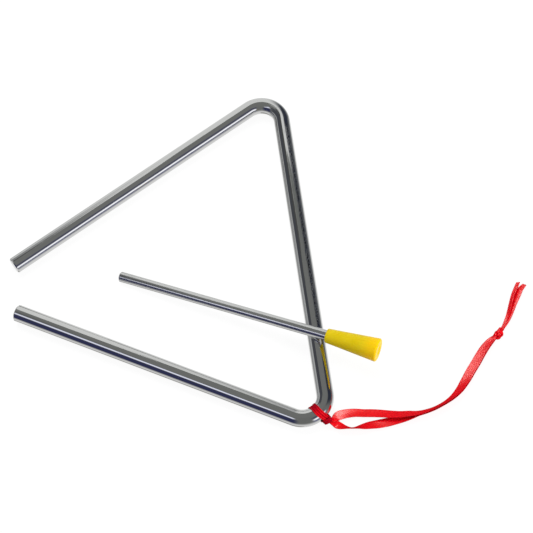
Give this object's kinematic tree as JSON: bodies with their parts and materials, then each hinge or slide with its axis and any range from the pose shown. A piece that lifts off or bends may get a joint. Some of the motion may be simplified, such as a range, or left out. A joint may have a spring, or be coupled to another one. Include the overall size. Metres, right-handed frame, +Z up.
{
  "type": "triangle instrument",
  "caption": "Bent steel triangle open at one corner, with a gripped steel beater laid across it and a knotted ribbon loop hitched round one bend.",
  "frame": {"origin": "on the table, under the middle of the box round the bar and the beater", "axes": "+Z up from the table the triangle lies on, +Y along the closed side, +X from the open corner towards the closed side"},
  "size_m": [0.2434, 0.1824, 0.0196],
  "materials": {
    "bar_chrome": "bright plated steel with fine handling marks",
    "rod_chrome": "bright plated steel rod",
    "grip_plastic": "moulded yellow plastic, semi-gloss",
    "ribbon": "narrow red satin ribbon"
  },
  "bodies": {
    "triangle": {"triangle_bar": "bar_chrome", "ribbon_hitch": "ribbon"},
    "beater": {"beater_rod": "rod_chrome", "beater_grip": "grip_plastic"},
    "ribbon_loop": {"ribbon_far_strand": "ribbon", "ribbon_near_strand": "ribbon", "ribbon_knot": "ribbon", "ribbon_far_tail": "ribbon", "ribbon_near_tail": "ribbon"}
  },
  "joints": [
    {"name": "beater_lift", "type": "slide", "parent": "triangle", "child": "beater", "axis": [0, 0, 1], "range_m": [0, 0.15]},
    {"name": "ribbon_swing", "type": "hinge", "parent": "triangle", "child": "ribbon_loop", "pos_m": [0.05736, -0.0875, 0.00497], "axis": [-0.5265, -0.8502, 0], "range_deg": [0, 100]}
  ]
}
